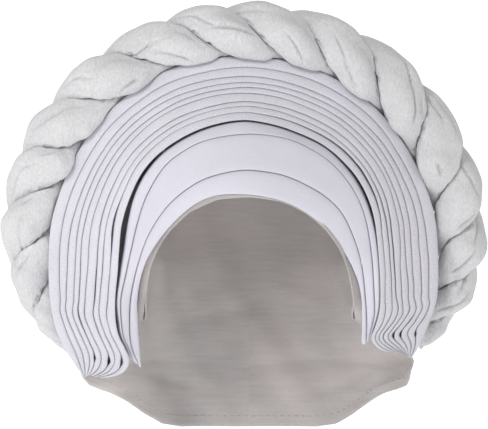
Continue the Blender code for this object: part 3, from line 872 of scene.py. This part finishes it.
def dome(name, stand_off, thickness, swell, deep_from, turned_back, hem, material):
    """A dome with a wall. Columns before deep_from end at the cap's front edge, and the sides below
    that edge turn back by some degrees. The hem is a share of each meridian."""
    columns, upper, lower = 360, 44, 52
    azimuths = np.arange(columns) * 360.0 / columns - 180.0
    cap_edge = np.interp(np.abs(azimuths), MERIDIANS[:, 0], MERIDIANS[:, 2])
    rise = (np.arange(1, upper + 1) / upper)[:, None] * cap_edge[None]
    step = (np.arange(1, lower + 1) / lower)[:, None]
    fall = cap_edge[None] + (hem - cap_edge[None]) * step
    back = np.clip((180 - np.abs(azimuths)) / (180 - CAP_SIDE_EDGE), 0, 1)[None]
    back = back * turned_back * ease(step * 1.5)
    grid = np.vstack([np.repeat(azimuths[None], upper, 0), azimuths + np.sign(azimuths) * back])
    points = dome_points(grid, np.vstack([rise, fall]))
    points = points + grid_normals(points) * (stand_off + swell(grid, points))[..., None]
    rows = upper + lower
    deep = np.abs(azimuths) >= deep_from
    row, column = np.meshgrid(np.arange(rows - 1), np.arange(columns), indexing="ij")
    after = (column + 1) % columns
    keep = (row < upper - 1) | (deep[column] & deep[after])
    row, column, after = row[keep], column[keep], after[keep]
    quads = np.stack([row * columns + column, (row + 1) * columns + column,
                      (row + 1) * columns + after, row * columns + after], axis=-1)
    used = np.unique(quads)
    renumber = np.full(rows * columns, -1)
    renumber[used] = np.arange(len(used))
    verts = np.vstack([points.reshape(-1, 3)[used], [(0.0, 0.0, stand_off)]])
    pole = [(len(used), renumber[n], renumber[(n + 1) % columns]) for n in range(columns)]
    mesh = bpy.data.meshes.new(name)
    mesh.from_pydata(verts.tolist(), [], renumber[quads].tolist() + np.array(pole).tolist())
    crown = np.arange(columns)
    turns = np.concatenate([np.stack([column, column, column + 1, column + 1], -1).reshape(-1),
                            np.stack([crown + .5, crown, crown + 1], -1).reshape(-1)])
    map_v = np.concatenate([-points.reshape(-1, 3)[used][:, 2], [0.0]])
    layer = mesh.uv_layers.new(name="cloth")
    loops = np.empty(len(mesh.loops), dtype=np.int32)
    mesh.loops.foreach_get("vertex_index", loops)
    coordinates = np.stack([np.radians(turns) * MAP_RADIUS, map_v[loops]], -1)
    layer.data.foreach_set("uv", coordinates.astype(np.float32).reshape(-1))
    piece = finish_piece(name, mesh, material)
    wall = piece.modifiers.new("wall", "SOLIDIFY")
    wall.thickness = thickness
    wall.offset = 1.0
    return piece


SATIN_CREASES = [
    # azimuth, how far down, half length in degrees, drop in mm a degree, width and height in mm
    (-112, .204, 15, -.10, 4.0, 1.5), (-127, .217, 12, -.40, 3.0, -1.1),
    (-103, .186, 8, .30, 3.0, -1.0), (112, .181, 12, .15, 4.0, 1.4), (121, .199, 9, .80, 2.4, -1.4),
    (131, .213, 9, .90, 2.4, -1.4), (141, .199, 14, .60, 5.0, 1.1), (-148, .196, 16, -.50, 5.0, 1.1),
    (168, .185, 24, .20, 6.0, .9), (-165, .150, 22, .35, 7.0, 1.0), (158, .135, 20, -.45, 7.0, -.9),
    (122, .150, 16, .30, 6.0, .9),
]
TURNED_OUT = (.0080, .0060)  # how far the left and right corner stand out


def lining_swell(azimuths, points):
    """Soft creases of the satin, strongest at its two free corners."""
    down, turn, round_back = -points[..., 2], np.abs(azimuths), azimuths % 360
    sides = ease((turn - 88) / 14) * ease((150 - turn) / 30)
    turned_out = np.where(azimuths < 0, *TURNED_OUT) * ease((down - .160) / .020)
    turned_out = turned_out * ease((turn - 96) / 7) * ease((126 - turn) / 20)
    hollow = .0008 + .0012 * sides + .0016 * ease((down - .12) / .05)
    waves = 1.1 + .7 * wave(round_back / 33.0 + down * 11.0, .4, (1.0, 1.7))
    hollow = hollow * ease((down - .03) / .10) * waves
    crease = np.zeros(down.shape)
    for place, level, reach, drop, width, height in SATIN_CREASES:
        apart = (azimuths - place + 180) % 360 - 180
        off = (down - level - drop * .001 * apart) / (width * .001)
        crease += height * .001 * np.exp(-(apart / reach) ** 2) * np.exp(-off ** 2) * (1 - .5 * off)
    return turned_out - hollow + crease * ease(hollow / .0012)


def cap_swell(azimuths, points):
    """Gathers of the cap: folds that run down from the halo and spread at the back."""
    down, azimuths = -points[..., 2], azimuths % 360
    behind = ease((points[..., 1] - .006) / .030)
    bend = azimuths + 9.0 * wave(down * 7.0, .3) + 5.0 * wave(azimuths / 70.0 + down * 3.0, 1.9)
    folds = wave(bend / 13.0, .9, (1.0, 1.7, 3.1))
    sharp = np.abs(wave(bend / 29.0, 2.3, (1.0, 2.1))) ** .6
    cross = wave(down * 13.0 + azimuths / 50.0, 2.2)
    return behind * ease(down / .05) * (.0014 * (1.0 + folds) + .0030 * sharp + .0007 * (1.0 + cross))


# %% Build the cap and the lining
CAP_TURNED_BACK, CAP_HEM = 48.0, .952
lining = dome("lining_satin", 0.0, LINING_THICKNESS, lining_swell, -1.0, 0.0, 1.0, lining_satin)
cap = dome("cap_cloth_shell", LINING_THICKNESS + CAP_CLEARANCE, CAP_THICKNESS, cap_swell,
           CAP_SIDE_EDGE, CAP_TURNED_BACK, CAP_HEM, cap_cloth)
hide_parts("lining")
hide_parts("cap")
print("lining", len(lining.data.polygons), "cap", len(cap.data.polygons))

# %% [markdown]
# ## Facing
#
# Along its opening the innermost band is sewn to the lining. A narrow satin facing turns round that edge
# and closes the gap between the two. We make it as a ruled strip: each point of the brow edge is joined
# to the point of the lining's edge that lies at the same angle round the opening.

# %% Build the facing
OPENING_MIDDLE, FACING_REACH, FACING_TIP = -.150, 1.60, .003
FACING_INSET, FACING_BEHIND, FACING_SAG, FACING_THICKNESS = .0012, .0045, .0009, .0008


def facing_strip():
    reach = np.abs(PLACES) < FACING_REACH
    brow = halo["brow_edge"][reach] + outward[reach] * FACING_INSET
    brow = brow + np.array([0.0, FACING_BEHIND, 0.0])
    azimuths = np.linspace(-90.0, 90.0, 181)
    edge = dome_points(azimuths, 1.0)
    turn = np.arctan2(edge[:, 0], edge[:, 2] - OPENING_MIDDLE)
    wanted = np.arctan2(brow[:, 0], brow[:, 2] - OPENING_MIDDLE)
    lined = np.stack([np.interp(wanted, turn, column) for column in edge.T], axis=1)
    t = np.linspace(0, 1, 9)[None, :, None]
    strip = brow[:, None] * (1 - t) + lined[:, None] * t
    strip = strip - outward[reach][:, None] * (FACING_SAG * np.sin(np.pi * t))
    inner = strip - outward[reach][:, None] * FACING_THICKNESS
    return np.concatenate([strip, inner[:, ::-1]], axis=1)


facing_rings = round_ends(facing_strip(), FACING_TIP)
facing = tube("brow_facing", facing_rings, lining_satin)
print("facing", len(facing.data.polygons), "faces")

# %% [markdown]
# ## Back of the halo
#
# The last leaf of the stack closes the halo behind, from the cap out to the rim. On the real wrap the
# cloth is gathered round the cap there, so the leaf gets many small folds that fan out to the rim and
# fade before it reaches the braid.

# %% Build the halo back
SEAM_FRONT, SEAM_FEET, SEAM_CLEARANCE = (.12, .03, .035), (-.170, -.158), .0003
BACK_THICKNESS, BACK_CLEARANCE, BACK_FOLD = 0.0022, 0.0014, .0013


def seam_line():
    """Where the halo's back meets the cap."""
    stand_off = LINING_THICKNESS + CAP_CLEARANCE + CAP_THICKNESS + SEAM_CLEARANCE
    top, side, end = SEAM_FRONT
    level = side + (top - side) * ARCH ** FRONT_ROUNDING
    y = -level * HALO_DEPTH
    shrink = np.sqrt(1 - (y / (HEAD_LENGTH / 2 + stand_off)) ** 2)
    x = (HEAD_WIDTH / 2 + stand_off) * shrink * np.sin(np.clip(PLACES, -1, 1) * np.pi / 2)
    z = -CROWN_DEPTH + (CROWN_DEPTH + stand_off) * shrink * ARCH
    down = np.clip(np.abs(PLACES) - 1, 0, 1)
    z = z + (np.where(PLACES < 0, *SEAM_FEET) - z) * down
    y = y - (end - side) * HALO_DEPTH * down
    return np.stack([x, y, z], axis=1)


def halo_back_rings():
    seam = seam_line()
    near = halo["gap_out"] + back_direction(0 * PLACES) * (leaf_depth(0.0) + BACK_CLEARANCE)[:, None]
    far = halo["rim"] + back_direction(0 * PLACES + 1) * (leaf_depth(1.0) + BACK_CLEARANCE)[:, None]
    first, second = np.linspace(0, 1, 14)[:-1, None, None], np.linspace(0, 1, 22)[:, None, None]
    front = np.concatenate([seam * (1 - first) + near * first, near * (1 - second) + far * second])
    share = np.linspace(0, 1, len(front))[:, None]
    folds = wave(PLACES * 13.0 + share * .5, .7, (1.0, 1.9, 3.3))
    proud = BACK_FOLD * (1 + folds) * ease(share / .15) * ease((1 - share) / .35)
    back = front.copy()
    back[..., 1] += BACK_THICKNESS + proud
    return np.concatenate([front, back[::-1]]).transpose(1, 0, 2)


back_rings = halo_back_rings()
halo_back = tube("halo_back_cloth", back_rings, cap_cloth)
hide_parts("halo_back")
print("halo back", len(halo_back.data.polygons), "faces")

# %% [markdown]
# ## Stitches
#
# The lining's free edge is hemmed by hand with short stitches. A stitch that repeats along a line is
# what Geometry Nodes do best: the line is cut into even steps, one small bead of thread is placed on
# each, and its length follows the line.


# %% Stitch tree
def stitch_tree():
    """Nodes that put one stitch at each step of a line of edges."""
    tree = bpy.data.node_groups.new("stitch_row", "GeometryNodeTree")
    panel = tree.interface
    panel.new_socket("Geometry", in_out="OUTPUT", socket_type="NodeSocketGeometry")
    panel.new_socket("Geometry", in_out="INPUT", socket_type="NodeSocketGeometry")
    for title in ("Spacing", "Stitch length", "Thread"):
        panel.new_socket(title, in_out="INPUT", socket_type="NodeSocketFloat")
    panel.new_socket("Material", in_out="INPUT", socket_type="NodeSocketMaterial")
    new, link = tree.nodes.new, tree.links.new
    entry, end = new("NodeGroupInput"), new("NodeGroupOutput")
    curve, steps = new("GeometryNodeMeshToCurve"), new("GeometryNodeResampleCurve")
    steps.mode = "LENGTH"
    bead, place = new("GeometryNodeMeshUVSphere"), new("GeometryNodeInstanceOnPoints")
    bead.inputs["Segments"].default_value = 8
    bead.inputs["Rings"].default_value = 5
    tangent, turn = new("GeometryNodeInputTangent"), new("FunctionNodeAlignRotationToVector")
    turn.axis = "Z"
    size, smooth = new("ShaderNodeCombineXYZ"), new("GeometryNodeSetShadeSmooth")
    real, coat = new("GeometryNodeRealizeInstances"), new("GeometryNodeSetMaterial")
    wires = [
        (entry, "Geometry", curve, "Mesh"), (curve, "Curve", steps, "Curve"),
        (entry, "Spacing", steps, "Length"), (steps, "Curve", place, "Points"),
        (bead, "Mesh", place, "Instance"), (tangent, "Tangent", turn, "Vector"),
        (turn, "Rotation", place, "Rotation"), (entry, "Thread", size, "X"),
        (entry, "Thread", size, "Y"), (entry, "Stitch length", size, "Z"),
        (size, "Vector", place, "Scale"), (place, "Instances", real, "Geometry"),
        (real, "Geometry", smooth, "Geometry"), (smooth, "Geometry", coat, "Geometry"),
        (entry, "Material", coat, "Material"), (coat, "Geometry", end, "Geometry"),
    ]
    for source, output, target, entrance in wires:
        link(source.outputs[output], target.inputs[entrance])
    return tree


stitches = stitch_tree()
print("stitch tree", len(stitches.nodes), "nodes")


# %% Sew the stitches
def stitch_row(name, line, spacing, length, thread, material):
    """A row of stitches along a line, as a plain mesh."""
    mesh = bpy.data.meshes.new(name + "_line")
    mesh.from_pydata(line.tolist(), [(n, n + 1) for n in range(len(line) - 1)], [])
    carrier = add_object(name + "_line", mesh)
    sewing = carrier.modifiers.new("sewing", "NODES")
    sewing.node_group = stitches
    wanted = {"Spacing": spacing, "Stitch length": length / 2, "Thread": thread / 2,
              "Material": material}
    for item in stitches.interface.items_tree:
        if item.name in wanted:
            sewing[item.identifier] = wanted[item.name]
    evaluated = carrier.evaluated_get(bpy.context.evaluated_depsgraph_get())
    sewn = bpy.data.meshes.new_from_object(evaluated)
    bpy.data.objects.remove(carrier)
    row = add_object(name, sewn)
    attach(row, "root")
    return row


STITCH_SPACING, STITCH_LENGTH, THREAD, THREAD_SUNK = .0052, .0028, .0009, .0002
STITCH_LEVEL = .975
thread_azimuths = np.linspace(94.0, 266.0, 500)
thread_azimuths = np.where(thread_azimuths > 180, thread_azimuths - 360, thread_azimuths)
hem_line = dome_points(thread_azimuths, STITCH_LEVEL)
sideways = unit(hem_line * np.array([1.0, 1.0, 0.0]))
hem_line = hem_line + sideways * (lining_swell(thread_azimuths, hem_line) - THREAD_SUNK)[:, None]
hem_stitches = stitch_row("hem_stitches", hem_line, STITCH_SPACING, STITCH_LENGTH, THREAD,
                          lining_satin)
print("hem stitches", len(hem_stitches.data.polygons), "faces")

# %% [markdown]
# ## Cut sizes of the folded strips
#
# Last we print the size each band and pleat was cut to.
# A pleat or band is one strip of cloth, folded lengthwise: its cut is as long as the halo's line and as
# wide as the leaf is deep, twice over. The leaf here is one closed piece, and the two halves of its
# surface are the strip's two layers, so its flat size is that of one layer.


def strip_size(inner, outer, depth):
    """The width and length of one layer of a folded strip, rounded to a millimetre."""
    length = (lengths(inner)[-1] + lengths(outer)[-1]) / 2
    width = np.mean(depth + np.linalg.norm(outer - inner, axis=1) * .9)
    return round(float(width), 3), round(float(length), 3)


for piece, (_, inner, outer, depths, *_) in zip(band_pieces, BANDS):
    size = strip_size(halo[inner], halo[outer], by_place(depths) * PLEAT_DEPTH)
    print(piece.name, "cut", size)
for number, piece in enumerate(pleat_pieces, 1):
    (inner, inner_share), (outer, outer_share) = pleat_edge(number - 1), pleat_edge(number)
    size = strip_size(inner, outer, leaf_depth((inner_share + outer_share) / 2))
    print(piece.name, "cut", size)
